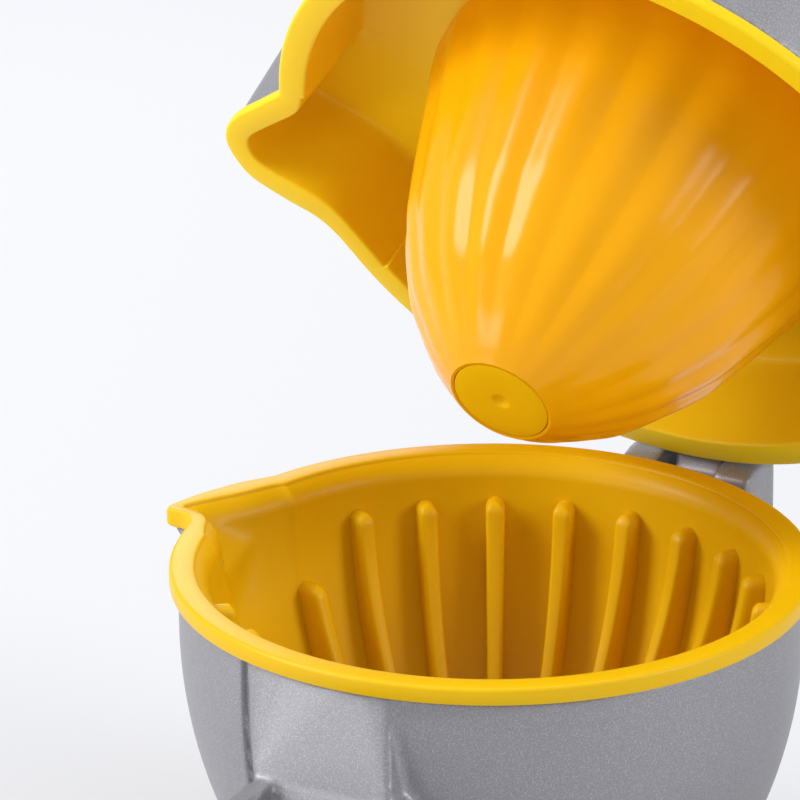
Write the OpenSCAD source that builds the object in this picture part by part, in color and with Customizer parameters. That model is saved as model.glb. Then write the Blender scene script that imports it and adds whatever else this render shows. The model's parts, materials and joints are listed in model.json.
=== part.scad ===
// Hinged hand citrus press, shown open.
// Origin: centre of the foot on the table. +X to the hinge, -X to the handles, +Y to the spouts.
// The upper half is drawn shut, over the lower cup, and then swung open about the hinge pin.

/* [Lower cup] */
// Outer radius of the lower cup's rim
rim_r = 38; // [37.8:0.1:38.2]
// Height of the lower rim above the table
rim_z = 57; // [57:0.5:60]
// Thickness of the plastic rim
rim_t = 2.2; // [1.8:0.1:2.4]
// Outer radius of the foot
foot_r = 14; // [13:0.5:16]

/* [Ribs] */
// Number of rib places around the cup
rib_count = 24; // [24:24:48]
// Width of one rib
rib_w = 2.6; // [2:0.1:3]
// Height of a rib's top above the cup's wall
rib_h = 2.6; // [2.2:0.1:2.8]
// Depth of the rib tops below the rim
rib_top = 5.2; // [4.5:0.1:7]

/* [Upper cup] */
// Outer radius of the upper cup's rim
upper_rim_r = 44.5; // [44.3:0.1:44.7]
// Depth of the trough around the press cone
trough_depth = 13.2; // [13:0.1:13.6]
// Distance of the shut upper rim below the lower rim
shut_drop = 10.2; // [10:0.1:10.3]
// Height of the upper cup's dome above its rim
dome_h = 28; // [27:0.5:32]

/* [Press cone] */
// Radius of the cone at its base
cone_r = 28.6; // [28:0.1:28.8]
// Distance of the cone's tip beyond the upper rim
cone_reach = 31.6; // [31:0.1:31.8]
// Radius of the round plug in the tip
plug_r = 6.1; // [5.6:0.1:6.1]
// Number of flutes around the cone
flute_count = 20; // [16:1:24]

/* [Hinge] */
// Distance of the hinge pin from the cup's axis
pin_x = 52.4; // [52.3:0.1:52.6]
// Distance of the hinge pin below the lower rim
pin_drop = 13; // [12.9:0.1:13.1]
// Radius of the hinge pin
pin_r = 2; // [1.6:0.1:2.2]
// Angle that the press stands open
open_angle = 61.6; // [45:0.1:75]
// Width of the hinge fork
fork_w = 17.6; // [17:0.1:18.4]
// Width of the slot between the fork's ears
slot_w = 7.9; // [7.8:0.1:8.2]

/* [Handles] */
// Distance of the handle ends from the cup's axis
handle_reach = 165; // [155:1:175]
// Width of a handle at its root
handle_w = 18.6; // [18:0.1:20]
// Width of a handle at its end
handle_end_w = 24; // [20:0.5:26]
// Thickness of a handle's side walls
handle_wall = 2.8; // [2.4:0.1:3.2]
// Gap between the handles' roots when shut
handle_gap = 7; // [6:0.5:10]
// Radius of the hanging hole
hang_r = 3; // [2.5:0.1:3.5]

/* [Hidden] */
round_fn = 96;
hull_fn = 32;
skin = 0.01;
fit_gap = 0.05;
// Space between a liner and its casting
seat_gap = 0.2;

// Lower cup: outside and inside of the casting, outside and inside of the liner
cup_wall_r = rim_r - 1.1;
cup_belt = 4.6;
cup_h = 47.6;
cast_in_r = cup_wall_r - 1.6;
cast_in_h = 46;
liner_out_r = cast_in_r - seat_gap;
liner_out_h = cast_in_h - seat_gap;
liner_in_r = rim_r - 4.6;
liner_in_top = rim_r - 3.1;
liner_in_h = 45.6;
liner_lip = 2;
// Ribs: turn of the first one, the deeper tops beside the spout and the higher ones facing it,
// and the curve of their fronts
rib_turn = -1.9;
rib_deep = 7;
rib_raise = 3.1;
rib_front_r = liner_in_r - rib_h + 0.2;
rib_front_h = 42;
rib_front_power = 1.75;
rib_fade = 13;
foot_plug_t = 1.6;
screw_head_h = 1.8;
washer_t = 0.8;
foot_recess_r = 9;
foot_roof = foot_plug_t + screw_head_h + washer_t;
liner_boss_r = 3.8;
liner_screw_r = 1.5;
liner_screw_len = 6.2;
liner_screw_head_r = 2.9;
liner_hex_r = 1.3;
foot_washer_r = 6.4;
screw_play = 0.2;

// Upper cup, in the shut position
upper_z = rim_z - shut_drop;
upper_rim_t = 1.5;
trough_top = upper_z + trough_depth;
trough_in_r = upper_rim_r - 3.65;
trough_draft = 1.6;
trough_wall = 1.2;
trough_floor_t = 1.8;
dome_r = upper_rim_r - 0.5;
dome_straight = 14;
dome_wall = 2.2;
post_r = 9;
post_shoulder_r = 13;

// Press cone
tip_z = upper_z - cone_reach;
cone_wall = 2.4;
cone_span = trough_depth + cone_reach;
cone_curve_h = cone_span * 1.042;
cone_power = 1.4;
plug_t = 3;
dimple_r = 2;
dimple_depth = 0.4;
cone_screw_head_r = 3.6;
cone_screw_head_h = 2.6;
cone_screw_r = 2;
cone_screw_len = 14;
cone_hex_r = 1.8;
cone_washer_r = 4.4;
cone_screw_seat = tip_z + plug_t + cone_screw_head_h + 1;
cone_end_floor = 3;
post_end = cone_screw_seat + cone_end_floor;
screw_hole_depth = 14;
seal_r = 24.6;
seal_size = 1.5;
flute_turn = 17;
flute_mid = 16;
flute_tilt = 15;
flute_r = 11;
flute_depth = 0.5;

// Hinge
pin_z = rim_z - pin_drop;
ear_r = 8.4;
ear_back = 3.9;
ear_front = 3.7;
boss_r = 6;
slot_r = boss_r + 1.1;
lug_w = 6.4;
bush_wall = 1.2;
washer_gap = 0.1;
hinge_washer_r = 4.6;
pin_cap_t = 1.2;
pin_cap_r = 2.8;
web_top = upper_z - 2.5;

// Handles
root_x = 36;
root_top = rim_z - 14.6;
end_top = 12;
root_depth = 15;
end_depth = 14;
handle_floor = 3;
handle_steps = 24;
end_round = 9;
end_start = 0.93;
hang_at = 0.94;
hang_boss_r = 7;
hang_boss_h = 5;
gusset_out = 39.2;
upper_root_top = upper_z + dome_straight + 5;

// Spout outlines seen from above: [reach along +Y, shift towards the handles]
lower_spout = [[30, -16], [36.4, -11], [38.9, -7.2], [41, -2.4], [42.1, 1.2], [42.5, 3.2],
    [42.2, 4.2], [40.8, 4.6], [38.6, 5.2], [37.4, 6.8], [30, 8]];
lower_trough = [[26, -12], [34.4, -9], [36.7, -4.2], [38.6, -1.2], [40.6, 2], [40.5, 2.8],
    [38.8, 3], [37, 4], [35.6, 5.6], [26, 9]];
upper_spout = [[36, -20], [40.9, -17.7], [42.7, -14], [44.6, -11.8], [48.3, -9.6], [52.1, -6.6],
    [53.7, -3.3], [54, -0.6], [52.7, 2.4], [50.7, 4.6], [47.5, 7], [43.4, 10], [36, 12]];
upper_trough = [[33, -17.4], [37, -16.8], [39.3, -12.6], [42.6, -8.7], [48.1, -5.3], [50.2, -3.4],
    [50.7, -1.2], [50, 1], [47.2, 3.2], [44.5, 5.2], [42.2, 7], [40, 10], [33, 12]];
spout_drop = 15;
spout_foot_y = 31;
channel_lip = 2.6;
channel_inset = 2.8;
pocket_roof = 2.4;
pocket_wall = 1.3;
hood_gap = 1;
hood_inset = 0.6;

function ellipse_profile(r, h, top, steps = 32) =
    [for (i = [0:steps]) [r * cos(90 * i / steps), top - h * sin(90 * i / steps)]];
function spout_xy(outline) = [for (p = outline) [-p[1], p[0]]];

// Height of the lower handle's top edge, from 0 at its root to 1 at its end
function droop(s) = end_top + (root_top - end_top) * cos(90 * s);
// Height of the shut upper handle's lower edge
function lift(s) = droop(s) + handle_gap + 9 * s;
function along(s) = -root_x - (handle_reach - root_x) * s;
function depth_at(s) = root_depth + (end_depth - root_depth) * s;
function half_w(s) = (handle_w + (handle_end_w - handle_w) * sin(90 * s)) / 2;

// Places the shut upper half's parts in the open pose
module swung_open() {
    translate([pin_x, 0, pin_z])
        rotate([0, open_angle, 0])
            translate([-pin_x, 0, -pin_z])
                children();
}

// Solid of revolution below a top plane, with an elliptical underside
module cup_solid(r, h, belt, top) {
    rotate_extrude($fn = round_fn)
        polygon(concat([[0, top], [r, top]], ellipse_profile(r, h, top - belt)));
}

// Cylinder along Y, centred on the hinge pin
module on_pin(r, w) {
    translate([pin_x, 0, pin_z])
        rotate([90, 0, 0])
            cylinder(r = r, h = w, center = true, $fn = round_fn);
}

// Side profile in X and Z, centred on Y
module side_plate(points, w) {
    rotate([90, 0, 0])
        linear_extrude(w, center = true)
            polygon(points);
}

// Plan outline of a handle: widening to a rounded end
module handle_plan(inset = 0) {
    side = [for (i = [0:handle_steps]) let (s = i / handle_steps * end_start)
        [along(s), half_w(s) - inset]];
    tip = [for (i = [0:8]) let (a = 90 * i / 8)
        [along(end_start) - (end_round - inset) * sin(a),
            (half_w(end_start) - end_round) + (end_round - inset) * cos(a)]];
    edge = concat([[-root_x + 12, half_w(0) - inset]], side, tip);
    mirrored = [for (i = [len(edge) - 1:-1:0]) [edge[i][0], -edge[i][1]]];
    polygon(concat(edge, mirrored));
}

// Lower handle's side profile: raise lifts its underside, and top its upper edge
function lower_handle_side(raise, top) = concat(
    [for (i = [0:handle_steps]) let (s = i / handle_steps) [along(s), droop(s) + top]],
    [for (i = [handle_steps:-1:0]) let (s = i / handle_steps)
        [along(s), max(0, droop(s) - depth_at(s)) + raise]]);

// Shut upper handle's side profile
function upper_handle_side(raise, low) = concat(
    [for (i = [0:handle_steps]) let (s = i / handle_steps) [along(s), lift(s) - low]],
    [for (i = [handle_steps:-1:0]) let (s = i / handle_steps)
        [along(s), lift(s) + depth_at(s) - 1 - raise]]);

module lower_handle() {
    difference() {
        intersection() {
            side_plate(lower_handle_side(0, 0), 60);
            translate([0, 0, -1]) linear_extrude(rim_z) handle_plan();
        }
        intersection() {
            side_plate(lower_handle_side(handle_floor, 20), 60);
            translate([0, 0, -1]) linear_extrude(rim_z) difference() {
                handle_plan(handle_wall);
                translate([-gusset_out, -30]) square([60, 60]);
            }
        }
    }
}

// The cup wall's flat gusset above the handle, and its rib below
module gusset() {
    hull() {
        translate([0, 0, rim_z - rim_t - 0.4]) linear_extrude(0.2) intersection() {
            circle(r = cup_wall_r - skin, $fn = hull_fn * 2);
            translate([-40, -6.6]) square([10, 19.6]);
        }
        translate([-gusset_out, -8.4, root_top]) cube([10, 18.2, 0.2]);
    }
    side_plate([[-gusset_out, root_top], [-30, root_top], [-18, 14], [-29, 16],
        [-46, root_top - root_depth + 0.5]], handle_w - 0.2);
}

// Tapering nose under the lower spout
module lower_nose(outline, inset, top) {
    hull() {
        translate([0, 0, top - 0.5]) linear_extrude(0.5) offset(delta = -inset)
            polygon(spout_xy(outline));
        translate([0, spout_foot_y - inset, top - spout_drop])
            sphere(r = 1, $fn = hull_fn);
    }
}

module fork() {
    difference() {
        union() {
            intersection() {
                on_pin(ear_r, fork_w);
                translate([pin_x - ear_front, -fork_w, pin_z])
                    cube([ear_front + ear_back, 2 * fork_w, 20]);
            }
            side_plate([[26, web_top], [pin_x - ear_front, web_top], [pin_x - ear_front, pin_z],
                [pin_x + ear_back, pin_z], [pin_x + ear_back, pin_z - 4], [pin_x, pin_z - 9],
                [28, 17], [22, 20]], fork_w);
            translate([pin_x - ear_front, -fork_w / 2, pin_z - 2])
                cube([ear_front + ear_back, fork_w, 3]);
        }
        on_pin(slot_r, slot_w);
        translate([pin_x, -slot_w / 2, pin_z - slot_r])
            cube([20, slot_w, 40]);
        translate([pin_x - slot_r, -slot_w / 2, pin_z])
            cube([20, slot_w, 20]);
        on_pin(pin_r + 0.02, fork_w + 2);
        for (side = [-1, 1])
            translate([0, side * (fork_w / 2 - pin_cap_t / 2), 0])
                on_pin(pin_cap_r + 0.02, pin_cap_t + skin);
    }
}

module lower_arm() {
    hole_z = foot_roof - skin;
    color("silver")
    difference() {
        union() {
            difference() {
                union() {
                    cup_solid(cup_wall_r, cup_h, cup_belt, rim_z - rim_t);
                    cylinder(r = foot_r, h = 9, $fn = round_fn);
                    gusset();
                    lower_nose(lower_spout, 0.9, rim_z - rim_t);
                    lower_handle();
                    fork();
                }
                cup_solid(cast_in_r, cast_in_h, cup_belt, rim_z);
                lower_nose(lower_spout, 2.2, rim_z);
            }
            translate([along(hang_at), 0, 0])
                cylinder(r = hang_boss_r, h = hang_boss_h, $fn = round_fn);
        }
        translate([0, 0, -1])
            cylinder(r = foot_recess_r, h = foot_roof + 1, $fn = round_fn);
        translate([0, 0, hole_z])
            cylinder(r = liner_boss_r + 0.1, h = 6, $fn = round_fn);
        translate([along(hang_at), 0, -1])
            cylinder(r = hang_r, h = 20, $fn = round_fn);
    }
}

// Depth of a rib's top: deeper beside the spout, and higher on the side that faces it
function rib_depth(turn) =
    turn > -30 && turn < 35 ? rib_top + rib_deep :
    turn > 35 && turn < 80 ? rib_top - rib_raise : rib_top;

// Solid inside the ribs' fronts, which lean in towards the press cone
module rib_fronts() {
    rotate_extrude($fn = round_fn)
        polygon(concat([[0, rim_z]], [for (i = [0:32]) let (t = 0.985 * i / 32)
            [rib_front_r * pow(1 - pow(t, rib_front_power), 1 / rib_front_power),
                rim_z - liner_lip - rib_front_h * t]],
            [[0, rim_z - liner_lip - rib_front_h]]));
}

// Ribs of the lower cup, with none across the spout
module ribs() {
    intersection() {
        difference() {
            cup_solid(liner_in_r + skin * 10, liner_in_h + skin * 10, liner_lip, rim_z - skin);
            rib_fronts();
            cylinder(r = rib_fade, h = rim_z);
        }
        for (i = [0:rib_count - 1]) {
            a = rib_turn + 360 / rib_count * i;
            turn = a > 180 ? a - 360 : a;
            if (turn < -15 || turn > 25)
                rotate([0, 0, turn]) translate([-rib_w / 2, 0, 0])
                    cube([rib_w, rim_r, rim_z - rib_depth(turn)]);
        }
    }
}

// Pouring channel cut into the lower liner, with a chamfered lip
module lower_channel() {
    hull() {
        translate([0, 0, rim_z]) linear_extrude(1)
            polygon(spout_xy(lower_trough));
        translate([0, 0, rim_z - channel_lip]) linear_extrude(0.2)
            offset(delta = -channel_inset) polygon(spout_xy(lower_trough));
    }
    lower_nose(lower_trough, channel_inset + 0.1, rim_z - channel_lip + 0.1);
}

module lower_liner() {
    color("gold")
    difference() {
        union() {
            difference() {
                union() {
                    cup_solid(liner_out_r, liner_out_h, cup_belt, rim_z - skin);
                    lower_nose(lower_spout, 2.5, rim_z - skin);
                    translate([0, 0, rim_z - rim_t])
                        cylinder(r = rim_r, h = rim_t, $fn = round_fn);
                    translate([0, 0, rim_z - rim_t])
                        linear_extrude(rim_t) polygon(spout_xy(lower_spout));
                }
                rotate_extrude($fn = round_fn)
                    polygon(concat([[0, rim_z + 1], [liner_in_top, rim_z + 1],
                        [liner_in_top, rim_z]],
                        ellipse_profile(liner_in_r, liner_in_h, rim_z - liner_lip)));
                lower_channel();
            }
            ribs();
            translate([0, 0, foot_roof])
                cylinder(r = liner_boss_r, h = 3, $fn = round_fn);
        }
        translate([0, 0, foot_roof - 1])
            cylinder(r = liner_screw_r + fit_gap, h = 5.2, $fn = round_fn);
    }
}

module lower_liner_screw() {
    color("gainsboro")
    difference() {
        union() {
            translate([0, 0, foot_plug_t])
                cylinder(r = liner_screw_head_r, h = screw_head_h, $fn = round_fn);
            translate([0, 0, foot_plug_t])
                cylinder(r = liner_screw_r, h = liner_screw_len, $fn = round_fn);
        }
        translate([0, 0, foot_plug_t - 1])
            cylinder(r = liner_hex_r, h = 2, $fn = 6);
    }
}

module lower_screw_washer() {
    color("lightgrey")
    translate([0, 0, foot_plug_t + screw_head_h])
        difference() {
            cylinder(r = foot_washer_r, h = washer_t, $fn = round_fn);
            translate([0, 0, -1])
                cylinder(r = liner_screw_r + screw_play, h = 3, $fn = round_fn);
        }
}

module foot_plug() {
    color("gold")
    cylinder(r = foot_recess_r - fit_gap, h = foot_plug_t - fit_gap, $fn = round_fn);
}

module hinge_pin() {
    color("darkgrey")
    on_pin(pin_r, fork_w - 2 * pin_cap_t - 0.1);
}

module pin_caps() {
    color("silver")
    for (side = [-1, 1])
        translate([0, side * (fork_w / 2 - pin_cap_t / 2), 0])
            on_pin(pin_cap_r, pin_cap_t - skin);
}

module hinge_washers() {
    washer_w = (slot_w - lug_w) / 2 - washer_gap;
    color("ivory")
    for (side = [-1, 1])
        translate([0, side * (slot_w - washer_w) / 2, 0])
            difference() {
                on_pin(hinge_washer_r, washer_w - 0.04);
                on_pin(pin_r + fit_gap, washer_w + 1);
            }
}

module upper_handle() {
    difference() {
        intersection() {
            side_plate(upper_handle_side(0, 0), 60);
            linear_extrude(2 * rim_z) handle_plan();
        }
        intersection() {
            side_plate(upper_handle_side(handle_floor, 20), 60);
            linear_extrude(2 * rim_z) difference() {
                handle_plan(handle_wall);
                translate([-dome_r - 3, -30]) square([60, 60]);
            }
        }
    }
}

module dome_solid(r, straight, h) {
    rotate_extrude($fn = round_fn)
        polygon(concat([[0, upper_z], [r, upper_z], [r, upper_z + straight]],
            [for (i = [0:32]) [r * cos(90 * i / 32),
                upper_z + straight + (h - straight) * sin(90 * i / 32)]]));
}

module upper_arm() {
    edge_z = upper_z + upper_rim_t;
    hood_z = edge_z + hood_gap;
    pocket_top = trough_top + trough_floor_t + seat_gap;
    color("silver")
    swung_open()
    difference() {
        union() {
            difference() {
                union() {
                    intersection() {
                        dome_solid(dome_r, dome_straight, dome_h);
                        translate([0, 0, edge_z]) cylinder(r = 60, h = 60, $fn = round_fn);
                    }
                    translate([0, 0, hood_z])
                        linear_extrude(pocket_top + pocket_roof - hood_z)
                            offset(delta = -hood_inset) polygon(spout_xy(upper_spout));
                    upper_handle();
                    side_plate([[-30, edge_z + 4], [-dome_r - 6, edge_z + 6],
                        [-dome_r - 6, upper_root_top + 1], [-30, upper_root_top + 6]],
                        handle_w - 0.2);
                    lug_arm();
                }
                trough_cavity(pocket_top);
                dome_cavity(pocket_top);
            }
            translate([0, 0, pocket_top - seat_gap])
                cylinder(r = post_shoulder_r, h = 6, $fn = round_fn);
            translate([0, 0, post_end])
                cylinder(r = post_r, h = upper_z + dome_h - 2 - post_end, $fn = round_fn);
        }
        translate([0, 0, post_end - 1])
            cylinder(r = cone_screw_r + 0.02, h = screw_hole_depth + 1, $fn = round_fn);
        on_pin(pin_r + bush_wall + 0.02, lug_w + 2);
    }
}

// Space in the upper casting for the liner
module trough_cavity(top) {
    gap = trough_wall + seat_gap;
    rotate_extrude($fn = round_fn)
        polygon([[0, upper_z - 1], [trough_in_r + gap, upper_z - 1], [trough_in_r + gap, upper_z],
            [trough_in_r - trough_draft + gap, top], [0, top]]);
    translate([0, 0, upper_z]) linear_extrude(top - upper_z)
        offset(delta = pocket_wall + seat_gap) polygon(spout_xy(upper_trough));
}

// Hollow under the dome, above the liner's floor
module dome_cavity(low) {
    cavity_r = trough_in_r - trough_draft - 2;
    rotate_extrude($fn = round_fn)
        polygon(concat([[0, low - skin]],
            [for (i = [0:16]) [cavity_r * cos(90 * i / 16),
                low - skin + (upper_z + dome_h - dome_wall - low) * sin(90 * i / 16)]]));
}

// Arm from the upper cup down to the pin, with its round boss
module lug_arm() {
    on_pin(boss_r, lug_w);
    side_plate([[36, upper_z + 3], [dome_r + 0.8, upper_z + 2.4], [pin_x - boss_r + 0.6, pin_z + 2.4],
        [pin_x, pin_z], [pin_x + 5.2, pin_z + 3], [pin_x + 2, pin_z + 11],
        [dome_r + 2, upper_z + 14], [36, upper_z + 20]], lug_w);
}

module lug_bush() {
    color("peru")
    swung_open()
    difference() {
        on_pin(pin_r + bush_wall, lug_w);
        on_pin(pin_r + fit_gap, lug_w + 2);
    }
}

module upper_liner() {
    floor_z = trough_top;
    deep_r = trough_in_r - trough_draft;
    color("gold")
    swung_open()
    difference() {
        union() {
            rotate_extrude($fn = round_fn)
                polygon([[0, upper_z], [upper_rim_r, upper_z], [upper_rim_r, upper_z + upper_rim_t],
                    [trough_in_r + trough_wall, upper_z + upper_rim_t],
                    [deep_r + trough_wall, floor_z + trough_floor_t],
                    [0, floor_z + trough_floor_t]]);
            translate([0, 0, upper_z])
                linear_extrude(upper_rim_t) polygon(spout_xy(upper_spout));
            translate([0, 0, upper_z]) linear_extrude(trough_depth + trough_floor_t)
                offset(delta = pocket_wall) polygon(spout_xy(upper_trough));
        }
        rotate_extrude($fn = round_fn)
            polygon([[0, upper_z - 1], [trough_in_r, upper_z - 1], [trough_in_r, upper_z],
                [deep_r, floor_z], [0, floor_z]]);
        translate([0, 0, upper_z - 1]) linear_extrude(trough_depth + 1)
            polygon(spout_xy(upper_trough));
        translate([0, 0, floor_z - 1])
            cylinder(r = post_r + 0.3, h = 6, $fn = round_fn);
    }
}

function cone_radius(s) = cone_r * sqrt(1 - pow(s / cone_curve_h, cone_power));
function cone_side(inset, steps, stop) = [for (i = [0:steps]) let (s = stop * i / steps)
    [max(cone_radius(s) - inset, 0), trough_top - s]];

module press_cone() {
    inner_stop = trough_top - post_end;
    hollow_r = seal_r - 1.4;
    color("orange")
    swung_open()
    difference() {
        rotate_extrude($fn = round_fn)
            polygon(concat([[0, trough_top]], cone_side(0, 40, cone_span), [[0, tip_z]]));
        rotate_extrude($fn = round_fn)
            polygon(concat([[0, trough_top + 1], [hollow_r, trough_top + 1]],
                [for (p = cone_side(cone_wall, 24, inner_stop))
                    [min(p[0], hollow_r), p[1]]], [[0, post_end]]));
        translate([0, 0, tip_z - 1])
            cylinder(r = plug_r, h = plug_t + 1, $fn = round_fn);
        translate([0, 0, tip_z])
            cylinder(r = cone_washer_r + screw_play, h = cone_screw_seat - tip_z, $fn = round_fn);
        translate([0, 0, tip_z])
            cylinder(r = cone_screw_r + 0.3, h = 14, $fn = round_fn);
        translate([0, 0, trough_top])
            rotate_extrude($fn = round_fn)
                translate([seal_r - fit_gap, -seal_size - fit_gap])
                    square([seal_size + 2 * fit_gap, seal_size + 1]);
        for (i = [0:flute_count - 1])
            rotate([0, 0, flute_turn + 360 / flute_count * i])
                translate([0, cone_radius(flute_mid) + flute_r - flute_depth,
                    trough_top - flute_mid])
                    rotate([-flute_tilt, 0, 0])
                        cylinder(r = flute_r, h = 2 * flute_mid, center = true, $fn = round_fn);
    }
}

module cone_seal() {
    color("dimgrey")
    swung_open()
    translate([0, 0, trough_top - seal_size])
        rotate_extrude($fn = round_fn)
            translate([seal_r, 0]) square([seal_size, seal_size - skin]);
}

module cone_screw() {
    color("gainsboro")
    swung_open()
    difference() {
        union() {
            translate([0, 0, cone_screw_seat - washer_t - cone_screw_head_h])
                cylinder(r = cone_screw_head_r, h = cone_screw_head_h, $fn = round_fn);
            translate([0, 0, cone_screw_seat - washer_t - skin])
                cylinder(r = cone_screw_r, h = cone_screw_len, $fn = round_fn);
        }
        translate([0, 0, cone_screw_seat - washer_t - cone_screw_head_h - 1])
            cylinder(r = cone_hex_r, h = 2.4, $fn = 6);
    }
}

module cone_screw_washer() {
    color("lightgrey")
    swung_open()
    translate([0, 0, cone_screw_seat - washer_t])
        difference() {
            cylinder(r = cone_washer_r, h = washer_t, $fn = round_fn);
            translate([0, 0, -1])
                cylinder(r = cone_screw_r + screw_play, h = 3, $fn = round_fn);
        }
}

module cone_plug() {
    color("gold")
    swung_open()
    difference() {
        translate([0, 0, tip_z])
            cylinder(r = plug_r - fit_gap, h = plug_t - fit_gap, $fn = round_fn);
        translate([0, 0, tip_z - dimple_r + dimple_depth])
            sphere(r = dimple_r, $fn = round_fn);
    }
}

lower_arm();
lower_liner();
lower_liner_screw();
lower_screw_washer();
foot_plug();
hinge_pin();
pin_caps();
hinge_washers();
upper_arm();
lug_bush();
upper_liner();
press_cone();
cone_seal();
cone_screw();
cone_screw_washer();
cone_plug();
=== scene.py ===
"""Looks of a hinged hand citrus press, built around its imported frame. Lengths are in metres."""

import json
import math

import bmesh
import bpy
import numpy as np
from mathutils import Matrix, Vector


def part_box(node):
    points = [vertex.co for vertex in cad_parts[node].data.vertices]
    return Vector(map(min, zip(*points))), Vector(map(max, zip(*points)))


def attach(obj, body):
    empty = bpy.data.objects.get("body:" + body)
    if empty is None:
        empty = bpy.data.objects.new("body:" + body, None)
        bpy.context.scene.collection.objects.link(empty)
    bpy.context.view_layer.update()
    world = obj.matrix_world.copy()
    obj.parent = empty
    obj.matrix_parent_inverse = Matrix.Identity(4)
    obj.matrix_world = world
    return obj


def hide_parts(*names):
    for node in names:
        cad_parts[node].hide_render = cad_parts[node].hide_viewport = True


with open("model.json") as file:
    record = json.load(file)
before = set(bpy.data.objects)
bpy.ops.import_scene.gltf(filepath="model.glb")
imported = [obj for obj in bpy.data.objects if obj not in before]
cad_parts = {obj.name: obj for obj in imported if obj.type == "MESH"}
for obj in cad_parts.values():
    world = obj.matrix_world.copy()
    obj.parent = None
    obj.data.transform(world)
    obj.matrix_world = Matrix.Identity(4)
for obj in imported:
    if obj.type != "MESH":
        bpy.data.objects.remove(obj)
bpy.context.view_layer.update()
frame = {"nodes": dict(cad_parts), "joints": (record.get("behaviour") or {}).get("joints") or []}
MM = 0.001
scene = bpy.context.scene

# ---------------------------------------------------------------- places from the frame
hinge = frame["joints"][0]
pin = Vector(hinge["pos_m"])
open_angle = math.radians(-hinge["range_deg"][0])
rim_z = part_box("lower_liner")[1].z
rim_r = -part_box("lower_liner")[0].y
upper_rim_r = -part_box("upper_liner")[0].y
swing = (Matrix.Translation(pin) @ Matrix.Rotation(open_angle, 4, "Y")
         @ Matrix.Translation(-pin))

# Distances that the frame's boxes don't give, as the part's source has them
rim_t = 2.2 * MM
upper_rim_t = 1.5 * MM
shut_drop = 10.2 * MM
upper_z = rim_z - shut_drop
trough_depth = 13.2 * MM
cone_reach = 31.6 * MM


# ---------------------------------------------------------------- mesh helpers
def new_object(name, verts, faces):
    mesh = bpy.data.meshes.new(name)
    mesh.from_pydata([tuple(v) for v in verts], [], faces)
    mesh.validate()
    mesh.update()
    obj = bpy.data.objects.new(name, mesh)
    scene.collection.objects.link(obj)
    return obj


def outward(obj):
    """Turns every face's normal outwards."""
    bm = bmesh.new()
    bm.from_mesh(obj.data)
    bmesh.ops.recalc_face_normals(bm, faces=bm.faces)
    bm.to_mesh(obj.data)
    bm.free()


def shade(obj, angle=35):
    """Smooth shading, with edges sharper than the angle kept crisp."""
    for poly in obj.data.polygons:
        poly.use_smooth = True
    bm = bmesh.new()
    bm.from_mesh(obj.data)
    limit = math.radians(angle)
    for edge in bm.edges:
        edge.smooth = len(edge.link_faces) != 2 or edge.calc_face_angle(0) < limit
    bm.to_mesh(obj.data)
    bm.free()


def ring_faces(rows, cols):
    """Quads of a tube of rows by cols points whose columns wrap round."""
    faces = []
    for i in range(rows - 1):
        for j in range(cols):
            k = (j + 1) % cols
            faces.append((i * cols + j, i * cols + k, (i + 1) * cols + k, (i + 1) * cols + j))
    return faces


class Rows:
    """Rows of radii and heights that a turned body is made from, one column per angle.

    Angles run from +Y to -X, and a radius is one number or one per angle."""

    def __init__(self, angles):
        self.angles = angles
        self.radii = []
        self.heights = []

    def add(self, radius, height):
        self.radii.append(radius + 0 * self.angles)
        self.heights.append(height + 0 * self.angles)

    def flange(self, r_out, r_in, face, up, thick, edge, outer_round, inner_round):
        """A rim's back edge, and its face with both edges rounded; up is 1, or -1 to look down."""
        back = face - up * thick
        self.add(r_out - edge, back)
        self.add(r_out - edge * 0.3, back + up * edge * 0.3)
        self.add(r_out, back + up * edge)
        for a in np.linspace(0, math.pi / 2, 5):
            self.add(r_out - outer_round * (1 - math.cos(a)),
                     face - up * outer_round * (1 - math.sin(a)))
        for a in np.linspace(0, math.pi / 2, 4):
            self.add(r_in + inner_round * (1 - math.sin(a)),
                     face - up * inner_round * (1 - math.cos(a)))

    def mesh(self):
        """Vertices and side faces of the rows."""
        radii, heights = np.array(self.radii), np.array(self.heights)
        x = -radii * np.sin(self.angles)
        y = radii * np.cos(self.angles)
        verts = np.stack([x, y, heights], axis=2).reshape(-1, 3)
        return list(map(tuple, verts)), ring_faces(*radii.shape)

    def closed_solid(self, name):
        """A body whose first and last rows are closed by flat ends."""
        verts, faces = self.mesh()
        cols = len(self.angles)
        for row in (0, len(self.radii) - 1):
            centre = len(verts)
            verts.append((0.0, 0.0, float(self.heights[row].mean())))
            for j in range(cols):
                faces.append((row * cols + j, row * cols + (j + 1) % cols, centre))
        return self.finished(name, verts, faces)

    def ring(self, name):
        """A body whose last row joins its first."""
        verts, faces = self.mesh()
        cols = len(self.angles)
        last = (len(self.radii) - 1) * cols
        for j in range(cols):
            k = (j + 1) % cols
            faces.append((last + j, last + k, k, j))
        return self.finished(name, verts, faces)

    @staticmethod
    def finished(name, verts, faces):
        obj = new_object(name, verts, faces)
        outward(obj)
        return obj


def join(name, objs):
    """Joins objects into one new object, and removes the separate ones."""
    bm = bmesh.new()
    for o in objs:
        bm.from_mesh(o.data)
    mesh = bpy.data.meshes.new(name)
    bm.to_mesh(mesh)
    bm.free()
    for o in objs:
        bpy.data.objects.remove(o)
    joined = bpy.data.objects.new(name, mesh)
    scene.collection.objects.link(joined)
    return joined


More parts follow.
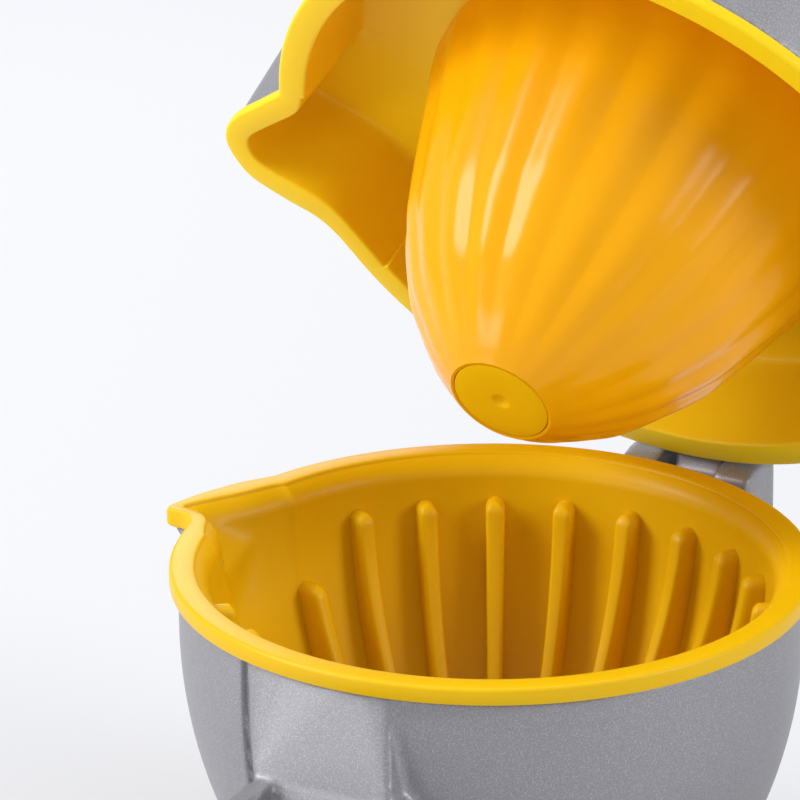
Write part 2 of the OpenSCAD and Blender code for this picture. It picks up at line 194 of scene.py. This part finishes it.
def smooth_curve(points, steps=12):
    """Catmull-Rom curve through 2D points."""
    p = np.array(points, float)
    p = np.vstack([2 * p[0] - p[1], p, 2 * p[-1] - p[-2]])
    out = []
    for i in range(1, len(p) - 2):
        for s in range(steps):
            t = s / steps
            out.append(0.5 * (2 * p[i] + (p[i + 1] - p[i - 1]) * t
                              + (2 * p[i - 1] - 5 * p[i] + 4 * p[i + 1] - p[i + 2]) * t * t
                              + (3 * p[i] - p[i - 1] - 3 * p[i + 1] + p[i + 2]) * t ** 3))
    out.append(p[-2])
    return np.array(out)


def outline_radius(pieces, plain, angles):
    """Radius at each angle of a rim whose spout is the given curves, in mm as [reach, shift]."""
    curve = np.vstack([smooth_curve(piece) for piece in pieces])
    turn = np.arctan2(curve[:, 1], curve[:, 0])
    order = np.argsort(turn)
    turn, radius = turn[order], np.hypot(curve[:, 0], curve[:, 1])[order] * MM
    wrapped = (angles + math.pi) % (2 * math.pi) - math.pi
    inside = (wrapped > turn[0]) & (wrapped < turn[-1])
    return np.where(inside, np.interp(wrapped, turn, radius), plain)


def column_angles(low, high, fine, coarse):
    """Angles round the rim: close together from low to high, and wider elsewhere."""
    near = np.arange(low, high, fine)
    far = np.linspace(high, low + 360, int((360 - high + low) / coarse), endpoint=False)
    return np.radians(np.concatenate([near, far]))


# ---------------------------------------------------------------- lower liner
# The rim's outer and inner edge at the spout, in mm: [reach along +Y, shift towards the handles]
LOWER_OUTER = [[[36.4, -11], [38.9, -7.2], [41, -2.4], [42.1, 1.2], [42.45, 3.2], [42.1, 4.1],
                [41.2, 4.35], [40.2, 4.4], [38.7, 5.0]], [[38.7, 5.0], [37.7, 6.4], [37.0, 8.7]]]
LOWER_INNER = [[[33.5, -9.6], [34.7, -8.2], [36.7, -4.3], [38.6, -1.3], [40.2, 1.5], [40.5, 2.4],
                [40.1, 2.9], [38.9, 3.15], [37.2, 3.8], [36.0, 5.0], [35.0, 7.0], [33.9, 9.0]]]

# The cup liner's inner wall and back, and the casting's inside with its spout nose
WALL_R = rim_r - 4.6 * MM
WALL_DEEP = 45.6 * MM
WALL_TOP = 2.0 * MM
BACK_R = rim_r - 2.9 * MM
BACK_DEEP = 45.8 * MM
BACK_TOP = 4.6 * MM
LIP = 1.5 * MM
BACK_GAP = 0.5 * MM
CHANNEL_LOW = 19 * MM
CHANNEL_FADE = 1.1
CAST_IN_R = rim_r - 2.7 * MM
CAST_IN_DEEP = 46 * MM
CAST_GAP = 0.45 * MM
NOSE_INSET = 2.2 * MM
NOSE_LOW = 15 * MM
NOSE_END = 29.8 * MM


def wall_radius(depth):
    """Radius of the cup liner's plain inner wall, a depth below the rim."""
    if depth < WALL_TOP:
        return WALL_R + LIP * (1 - depth / WALL_TOP)
    return WALL_R * math.sqrt(max(0, 1 - ((depth - WALL_TOP) / WALL_DEEP) ** 2))


def cup_room(r_out, depth):
    """Radius of the space that the casting and its spout nose leave for the liner."""
    low = max(depth - BACK_TOP, 0) / CAST_IN_DEEP
    plain = CAST_IN_R * math.sqrt(max(0, 1 - low ** 2))
    share = min(depth / NOSE_LOW, 1)
    nose = (r_out - NOSE_INSET) * (1 - share) + NOSE_END * share
    return np.maximum(plain, nose)


def inner_radius(r_out, bulge, depth):
    """Inside of the liner: the cup wall, and the pouring channel that fades into it."""
    fade = max(0, 1 - depth / CHANNEL_LOW) ** CHANNEL_FADE
    wanted = wall_radius(depth) + bulge * fade
    most = np.maximum(cup_room(r_out, depth) - CAST_GAP, wall_radius(depth))
    soft = 0.6 * MM
    gap = np.clip(0.5 + 0.5 * (most - wanted) / soft, 0, 1)
    return most + (wanted - most) * gap - soft * gap * (1 - gap) * 0.5


def lower_liner_rows(angles):
    """Rows from the bottom of the liner's back, over the rim and down its inner wall."""
    r_out = outline_radius(LOWER_OUTER, rim_r, angles)
    r_in_plain = WALL_R + LIP
    r_in = np.maximum(outline_radius(LOWER_INNER, r_in_plain, angles), r_in_plain)
    bulge = r_in - r_in_plain
    rows = Rows(angles)

    def behind(plain, depth):
        channel = inner_radius(r_out, bulge, depth) + BACK_GAP
        rows.add(np.maximum(plain, channel), rim_z - depth)

    for a in np.linspace(math.pi / 2, 0, 37)[:-1]:
        behind(BACK_R * math.cos(a), BACK_TOP + BACK_DEEP * math.sin(a))
    behind(BACK_R, rim_t + 1.2 * MM)
    behind(BACK_R, rim_t)
    rows.flange(r_out, r_in, rim_z, 1, rim_t, 0.35 * MM, 0.5 * MM, 0.35 * MM)
    for depth in np.linspace(0.7 * MM, CHANNEL_LOW, 26):
        rows.add(inner_radius(r_out, bulge, depth), rim_z - depth)
    start = math.asin((CHANNEL_LOW - WALL_TOP) / WALL_DEEP)
    for a in np.linspace(start, math.pi / 2, 30)[1:-1]:
        rows.add(WALL_R * math.cos(a), rim_z - WALL_TOP - WALL_DEEP * math.sin(a))
    return rows


# The ribs: places round the cup, angle of the first in degrees, depths of the tops, and the
# curve of the fronts
RIB_COUNT = 24
FIRST_RIB = -1.9
RIB_TOP = 5.2 * MM
RIB_TOP_BY_SPOUT = 12.2 * MM
RIB_TOP_PAST_SPOUT = 2.2 * MM
RIB_FRONT_R = 31.0 * MM
RIB_FRONT_DEEP = 42.0 * MM
RIB_POWER = 1.75
RIB_END_R = 13.0 * MM
RIB_END_DEPTH = 43.6 * MM


def rib_front(depth):
    """Radius of the ribs' fronts, which lean in towards the bottom of the cup."""
    t = min((depth - WALL_TOP) / RIB_FRONT_DEEP, 1)
    return max(RIB_FRONT_R * (1 - t ** RIB_POWER) ** (1 / RIB_POWER), RIB_END_R)


def rib(name, turn, top_depth):
    """One upright rib on the liner's wall: a bar with a rounded top end and rounded front edges."""
    wide, narrow, root, taper_to = 1.25 * MM, 0.95 * MM, 0.6 * MM, 24 * MM
    blunt_run, set_back, least = 1.2 * MM, 0.7 * MM, 0.12 * MM
    # Half of a section as shares of half the width and of the height, with a rounded corner
    section = [(-1, 0.0), (-1, 0.55)]
    section += [(-1 + 0.5 * (1 - math.cos(t)), 0.7 + 0.3 * math.sin(t))
                for t in np.linspace(0, math.pi / 2, 5)]
    section += [(-s, h) for s, h in reversed(section)]
    near = np.linspace(0, 1, 9) ** 2 * 1.4 * MM
    verts = []
    for run in np.concatenate([near, np.linspace(2 * MM, RIB_END_DEPTH - top_depth, 44)]):
        depth = top_depth + run
        half = wide + (narrow - wide) * min(depth / taper_to, 1)
        blunt = 1 - min(run / blunt_run, 1)
        width = max(half * math.sqrt(1 - blunt ** 2), least)
        back = wall_radius(depth) + root
        front = min(rib_front(depth) + set_back * blunt ** 2, back - 0.1 * MM)
        for s, h in section:
            verts.append((s * width, back + (front - back) * h, rim_z - depth))
    cols = len(section)
    steps = len(verts) // cols
    faces = ring_faces(steps, cols)
    faces.append(tuple(range(cols)))
    faces.append(tuple(range((steps - 1) * cols, steps * cols)))
    obj = new_object(name, verts, faces)
    obj.data.transform(Matrix.Rotation(turn, 4, "Z"))
    outward(obj)
    return obj


def rib_top(turn):
    """Depth of a rib's top: deeper beside the spout, and higher just past it."""
    if -30 < turn < 35:
        return RIB_TOP_BY_SPOUT
    if 35 < turn < 80:
        return RIB_TOP_PAST_SPOUT
    return RIB_TOP


def build_lower_liner():
    """The ribbed cup liner, with no ribs across its spout."""
    angles = column_angles(-20, 18, 0.25, 0.9)
    parts = [lower_liner_rows(angles).closed_solid("liner_shell")]
    for k in range(RIB_COUNT):
        turn = FIRST_RIB + 360 / RIB_COUNT * k
        turn = turn - 360 if turn > 180 else turn
        if turn < -15 or turn > 25:
            parts.append(rib("rib", math.radians(turn), rib_top(turn)))
    liner = join("lower_liner_shell", parts)
    shade(liner, 38)
    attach(liner, "lower")
    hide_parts("lower_liner")
    return liner


# ---------------------------------------------------------------- upper liner
# The flange's edges at the spout, in mm: [reach along +Y, shift towards the handles]
UPPER_OUTER = [[[40.7, -18.0], [42.5, -14.4], [44.6, -11.9], [48.3, -9.6], [52.1, -6.7],
                [53.6, -3.6], [53.95, -0.7], [53.0, 2.0], [50.8, 4.4], [47.5, 6.8], [43.4, 9.8]]]
UPPER_INNER = [[[36.6, -19.1], [38.0, -16.2], [40.6, -11.0], [42.7, -8.6], [45.2, -6.9],
                [48.1, -5.2], [50.1, -3.4], [50.7, -1.3], [50.0, 0.8], [47.2, 3.0], [44.3, 5.0],
                [42.2, 6.5], [41.0, 7.9], [40.1, 9.9]]]


def build_upper_liner():
    """The trough round the press cone, with its deep spout."""
    angles = column_angles(-28, 20, 0.25, 0.9)
    r_out = outline_radius(UPPER_OUTER, upper_rim_r, angles)
    r_in_plain = upper_rim_r - 3.65 * MM
    r_in = np.maximum(outline_radius(UPPER_INNER, r_in_plain, angles), r_in_plain)
    wall, draft, floor_t, chamfer = 1.2 * MM, 1.3 * MM, 1.7 * MM, 0.8 * MM
    corner, floor_r, hole_r = 1.0 * MM, 33 * MM, 20 * MM
    top = upper_z + trough_depth
    deep_r = r_in - draft
    rows = Rows(angles)
    rows.add(hole_r, top + floor_t)
    rows.add(deep_r + wall - chamfer, top + floor_t)
    rows.add(deep_r + wall, top + floor_t - chamfer)
    rows.add(r_in + wall, upper_z + upper_rim_t)
    rows.flange(r_out, r_in, upper_z, -1, upper_rim_t, 0.3 * MM, 0.5 * MM, 0.4 * MM)
    for share in np.linspace(0.1, 1 - corner / trough_depth, 10):
        rows.add(r_in - draft * share, upper_z + trough_depth * share)
    for a in np.linspace(0, math.pi / 2, 6)[1:]:
        rows.add(deep_r - corner * (1 - math.cos(a)), top - corner + corner * math.sin(a))
    rows.add(floor_r, top)
    rows.add(hole_r, top)
    liner = rows.ring("upper_liner_shell")
    liner.data.transform(swing)
    shade(liner, 38)
    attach(liner, "upper")
    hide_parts("upper_liner")
    return liner


# ---------------------------------------------------------------- press cone
# The cone's outside, its inside and its plug's recess, in mm with the press shut:
# [radius, height above the upper rim]
CONE_PROFILE = [[26.15, 13.15], [27.0, 12.9], [27.9, 12.1], [28.25, 10.9], [28.24, 9.5],
                [27.6, 6.6], [26.56, 3.6], [25.44, 0.0], [24.11, -4.5], [22.51, -9.5],
                [20.87, -14.0], [18.18, -19.0], [15.95, -22.5], [13.3, -25.5], [10.9, -28.0],
                [8.6, -30.0], [7.1, -31.1], [6.5, -31.55]]
CONE_INSIDE = [[4.6, -28.6], [4.6, -25.0], [2.3, -25.0], [2.3, -22.0], [13.9, -22.0],
               [18.7, -13.0], [22.2, -4.0], [23.2, 0.0], [23.2, 13.15], [24.55, 13.15],
               [24.55, 11.65], [26.15, 11.65]]
CONE_RECESS = [[6.12, -31.5], [6.1, -31.2], [6.1, -28.6]]
CONE_BASE = 13.2
CONE_TIP = -32.0
FLUTES = 20
FLUTE_DEPTH = 0.5
FIRST_RIDGE = math.radians(8)


def build_cone():
    """The fluted cone, open behind, with a groove for its seal and a recess for its plug."""
    angles = np.linspace(0, 2 * math.pi, FLUTES * 24, endpoint=False)
    wave = 0.5 + 0.5 * np.cos(FLUTES * (angles - FIRST_RIDGE))
    hollow = 1 - wave ** 0.8
    rows = Rows(angles)

    def add(radius, height):
        rows.add(radius * MM, upper_z + height * MM)

    for r, z in CONE_INSIDE:
        add(r, z)
    for r, z in smooth_curve(CONE_PROFILE, 8):
        from_base = min(max((CONE_BASE - z) / 6, 0), 1)
        from_tip = min(max((z - CONE_TIP) / 12, 0), 1)
        add(r - FLUTE_DEPTH * from_base ** 1.5 * from_tip * hollow, z)
    for r, z in CONE_RECESS:
        add(r, z)
    cone = rows.ring("press_cone_shell")
    cone.data.transform(swing)
    shade(cone, 40)
    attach(cone, "upper")
    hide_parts("press_cone")
    return cone


def build_plug():
    """The tip's round plug: a nearly flat cap with a small dimple in the middle."""
    angles = np.linspace(0, 2 * math.pi, 96, endpoint=False)
    tip = upper_z - cone_reach
    profile = [(5.9, 2.9), (6.02, 2.7), (6.05, 0.3), (6.0, 0.1), (5.8, 0.05), (4.0, 0.03),
               (2.4, 0.02), (1.3, 0.02), (1.1, 0.04), (0.9, 0.15), (0.6, 0.32), (0.25, 0.4)]
    rows = Rows(angles)
    for r, z in profile:
        rows.add(r * MM, tip + z * MM)
    plug = rows.closed_solid("cone_plug_cap")
    plug.data.transform(swing)
    shade(plug, 50)
    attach(plug, "upper")
    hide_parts("cone_plug")
    return plug


# ---------------------------------------------------------------- castings
def score_panel(mesh):
    """Presses in the shadow line that runs down the cup beside the flat panel over the handle."""
    line_y, wide, deep = 13.6 * MM, 0.45 * MM, 1.0 * MM
    outer_x, low_z = -28 * MM, rim_z - 24 * MM
    for vertex in mesh.vertices:
        x, y, z = vertex.co
        if x < outer_x and low_z < z < rim_z - rim_t:
            vertex.co.x = x + deep * math.exp(-((y - line_y) / wide) ** 2)


def keep_inside(mesh, low, high):
    """Brings any vertex just past a box back to its side."""
    for vertex in mesh.vertices:
        vertex.co = [min(max(c, a), b) for c, a, b in zip(vertex.co, low, high)]


def build_casting(node, body):
    """A casting's skin: the CAD solid remeshed and relaxed, so its edges are softly rounded."""
    voxel, rounds = 0.45 * MM, 3
    source = frame["nodes"][node]
    skin = bpy.data.objects.new(node + "_skin", source.data.copy())
    scene.collection.objects.link(skin)
    remesh = skin.modifiers.new("remesh", "REMESH")
    remesh.mode = "VOXEL"
    remesh.voxel_size = voxel
    relax = skin.modifiers.new("relax", "SMOOTH")
    relax.factor = 0.5
    relax.iterations = rounds
    depsgraph = bpy.context.evaluated_depsgraph_get()
    mesh = bpy.data.meshes.new_from_object(skin.evaluated_get(depsgraph))
    skin.modifiers.clear()
    skin.data = mesh
    for poly in mesh.polygons:
        poly.use_smooth = True
    if node == "lower_arm":
        score_panel(mesh)
    keep_inside(mesh, *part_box(node))
    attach(skin, body)
    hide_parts(node)
    return skin


# ---------------------------------------------------------------- materials
class Nodes:
    """Short names for adding and linking shader nodes."""

    def __init__(self, name):
        self.material = bpy.data.materials.new(name)
        self.material.use_nodes = True
        self.tree = self.material.node_tree
        self.tree.nodes.clear()
        self.out = self.add("ShaderNodeOutputMaterial")
        self.bsdf = self.add("ShaderNodeBsdfPrincipled")
        self.link(self.bsdf, "BSDF", self.out, "Surface")
        self.where = self.add("ShaderNodeTexCoord")

    def add(self, kind, **values):
        node = self.tree.nodes.new(kind)
        for key, value in values.items():
            setattr(node, key, value)
        return node

    def link(self, a, out, b, into):
        self.tree.links.new(a.outputs[out], b.inputs[into])

    def noise(self, scale, detail=3, roughness=0.5):
        """Noise over the object's own coordinates, in waves per metre."""
        n = self.add("ShaderNodeTexNoise")
        n.inputs["Scale"].default_value = scale
        n.inputs["Detail"].default_value = detail
        n.inputs["Roughness"].default_value = roughness
        self.link(self.where, "Object", n, "Vector")
        return n

    def ramp(self, source, stops):
        """A colour ramp over a noise, from (position, colour) stops."""
        r = self.add("ShaderNodeValToRGB")
        self.link(source, "Fac", r, "Fac")
        while len(r.color_ramp.elements) < len(stops):
            r.color_ramp.elements.new(0.5)
        for element, (at, colour) in zip(r.color_ramp.elements, stops):
            element.position = at
            element.color = (*colour, 1)
        return r

    def rough(self, source, low, high):
        """Roughness that varies from low to high with a noise."""
        m = self.add("ShaderNodeMapRange")
        m.inputs["To Min"].default_value = low
        m.inputs["To Max"].default_value = high
        self.link(source, "Fac", m, "Value")
        self.link(m, "Result", self.bsdf, "Roughness")

    def bump(self, layers):
        """Bumps from (noise, distance) layers, one after another."""
        last = None
        for source, distance in layers:
            b = self.add("ShaderNodeBump")
            b.inputs["Distance"].default_value = distance
            b.inputs["Strength"].default_value = 0.5
            self.link(source, "Fac", b, "Height")
            if last is not None:
                self.link(last, "Normal", b, "Normal")
            last = b
        self.link(last, "Normal", self.bsdf, "Normal")

    def set(self, **values):
        """Sets inputs of the surface shader, whose names are written with underscores."""
        for key, value in values.items():
            self.bsdf.inputs[key.replace("_", " ")].default_value = value


def plastic(name, light, dark, roughness, glow, waviness):
    """Moulded plastic: slight colour drift, faint flow ripple and a little light let through."""
    m = Nodes(name)
    drift = m.noise(45, 2)
    colour = m.ramp(drift, [(0.3, dark), (0.7, light)])
    m.link(colour, "Color", m.bsdf, "Base Color")
    fine = m.noise(2200, 2)
    m.rough(fine, roughness - 0.03, roughness + 0.05)
    flow = m.noise(120, 2)
    m.bump([(flow, waviness), (fine, 0.00001)])
    m.set(Subsurface_Weight=glow, Subsurface_Radius=(0.006, 0.0028, 0.0004),
          Subsurface_Scale=1.0, Specular_IOR_Level=0.2)
    return m.material


def casting_paint(name):
    """Silver paint with fine metal flake over cast aluminium."""
    m = Nodes(name)
    flake = m.noise(5200, 1, 0.6)
    cloud = m.noise(40, 2)
    colour = m.ramp(flake, [(0.3, (0.265, 0.262, 0.28)), (0.55, (0.31, 0.307, 0.325)),
                            (0.72, (0.41, 0.406, 0.426))])
    m.link(colour, "Color", m.bsdf, "Base Color")
    m.rough(flake, 0.42, 0.52)
    m.bump([(cloud, 0.0001), (flake, 0.00001)])
    m.set(Metallic=0.5, Coat_Weight=0.05, Coat_Roughness=0.3)
    return m.material


def turned_metal(name, colour, roughness):
    """Bare metal with faint tool marks."""
    m = Nodes(name)
    lines = m.noise(1500, 2)
    tone = m.ramp(lines, [(0.3, tuple(c * 0.85 for c in colour)), (0.7, colour)])
    m.link(tone, "Color", m.bsdf, "Base Color")
    m.rough(lines, roughness - 0.06, roughness + 0.08)
    m.bump([(lines, 0.00003)])
    m.set(Metallic=1.0)
    return m.material


def dull(name, colour, roughness, grain=0.00004, drift=0.1):
    """A matt surface with a fine grain and a slight drift in tone."""
    m = Nodes(name)
    speck = m.noise(900, 3)
    tone = m.ramp(speck, [(0.3, tuple(c * (1 - drift) for c in colour)), (0.7, colour)])
    m.link(tone, "Color", m.bsdf, "Base Color")
    m.rough(speck, roughness - 0.05, roughness + 0.05)
    m.bump([(speck, grain)])
    return m.material


def wear(obj, material):
    """Gives an object one material."""
    obj.data.materials.clear()
    obj.data.materials.append(material)


# ---------------------------------------------------------------- stage, lights, camera
def build_floor():
    """A plain pale floor."""
    size = 4.0
    corners = [(-size, -size, 0), (size, -size, 0), (size, size, 0), (-size, size, 0)]
    floor = new_object("floor", corners, [(0, 1, 2, 3)])
    paper = dull("floor_paper", (0.66, 0.665, 0.68), 0.8, grain=0.0000001, drift=0.005)
    wear(floor, paper)


def softbox(name, place, target, size, power):
    """A rectangular lamp at a place, facing a target, all in metres."""
    data = bpy.data.lights.new(name, "AREA")
    data.shape = "RECTANGLE"
    data.size, data.size_y = size
    data.energy = power
    lamp = bpy.data.objects.new(name, data)
    scene.collection.objects.link(lamp)
    lamp.location = place
    lamp.rotation_euler = (Vector(target) - Vector(place)).to_track_quat("-Z", "Y").to_euler()


def build_world():
    """Soft, slightly cool light from all round."""
    world = bpy.data.worlds.new("studio")
    world.use_nodes = True
    back = world.node_tree.nodes["Background"]
    back.inputs["Color"].default_value = (0.93, 0.95, 1.0, 1)
    back.inputs["Strength"].default_value = 0.55
    scene.world = world


def build_camera():
    """The camera looks from the handle side, a little away from the spouts, through a long lens."""
    bearing = math.radians(-151.1)
    lift = math.radians(22.44)
    distance = 25 * rim_r
    aim_left, aim_up, roll = 10.79 * MM, 18.95 * MM, math.radians(-0.26)
    away = Vector((math.cos(bearing) * math.cos(lift), math.sin(bearing) * math.cos(lift),
                   math.sin(lift)))
    centre = Vector((0, 0, rim_z))
    right = Vector((-math.sin(bearing), math.cos(bearing), 0))
    up = away.cross(right)
    aim = centre - right * aim_left + up * aim_up
    data = bpy.data.cameras.new("camera")
    data.sensor_width = 36
    data.lens = 363.2
    data.clip_end = 20
    camera = bpy.data.objects.new("camera", data)
    scene.collection.objects.link(camera)
    camera.location = centre + away * distance
    turn = (aim - camera.location).to_track_quat("-Z", "Y").to_matrix().to_4x4()
    camera.rotation_euler = (turn @ Matrix.Rotation(roll, 4, "Z")).to_euler()
    scene.camera = camera


# ---------------------------------------------------------------- build
build_camera()
build_world()
build_floor()
softbox("key", (-0.55, 0.75, 0.75), (0, 0, 0.06), (0.4, 0.6), 9.5)
softbox("front", (-1.0, 0.6, 0.14), (0, 0, 0.09), (0.5, 0.22), 2.6)
softbox("sheen", (0.36, 0.27, 0.24), (-0.005, 0.036, 0.057), (0.12, 0.12), 0.2)
softbox("side", (0.1, -0.95, 0.5), (0, 0, 0.06), (0.35, 0.5), 4.6)
softbox("top", (0.1, 0.1, 1.3), (0, 0, 0.05), (0.9, 0.9), 5)

liner_plastic = plastic("liner_plastic", (0.79, 0.475, 0.003), (0.76, 0.45, 0.002), 0.34, 0.06,
                        0.00006)
# The upper liner's plastic is a paler copy of the lower liner's plastic. This is painted light: it
# brightens the downward-facing flange and trough, which the lamps leave in shade.
upper_plastic_painted_light = plastic("upper_plastic_painted_light", (0.95, 0.63, 0.008), (0.92, 0.60, 0.006), 0.36, 0.08,
                        0.00006)
cone_plastic = plastic("cone_plastic", (0.86, 0.385, 0.002), (0.84, 0.365, 0.001), 0.2, 0.1,
                       0.0001)
plug_plastic = plastic("plug_plastic", (0.88, 0.50, 0.003), (0.86, 0.48, 0.002), 0.32, 0.1,
                       0.00006)
silver = casting_paint("silver_paint")
steel = turned_metal("steel", (0.72, 0.72, 0.74), 0.3)
bronze = turned_metal("bronze", (0.62, 0.42, 0.2), 0.4)
nylon = dull("nylon", (0.80, 0.79, 0.75), 0.55)
rubber = dull("seal_rubber", (0.03, 0.03, 0.03), 0.6)

wear(build_lower_liner(), liner_plastic)
wear(build_upper_liner(), upper_plastic_painted_light)
wear(build_cone(), cone_plastic)
wear(build_plug(), plug_plastic)
wear(build_casting("lower_arm", "lower"), silver)
wear(build_casting("upper_arm", "upper"), silver)

for node, material in (("lower_liner_screw", steel), ("lower_screw_washer", steel),
                       ("hinge_pin", steel), ("cone_screw", steel),
                       ("cone_screw_washer", steel), ("pin_caps", silver),
                       ("foot_plug", plug_plastic), ("hinge_washers", nylon),
                       ("lug_bush", bronze), ("cone_seal", rubber)):
    wear(frame["nodes"][node], material)

scene.view_settings.view_transform = "Standard"
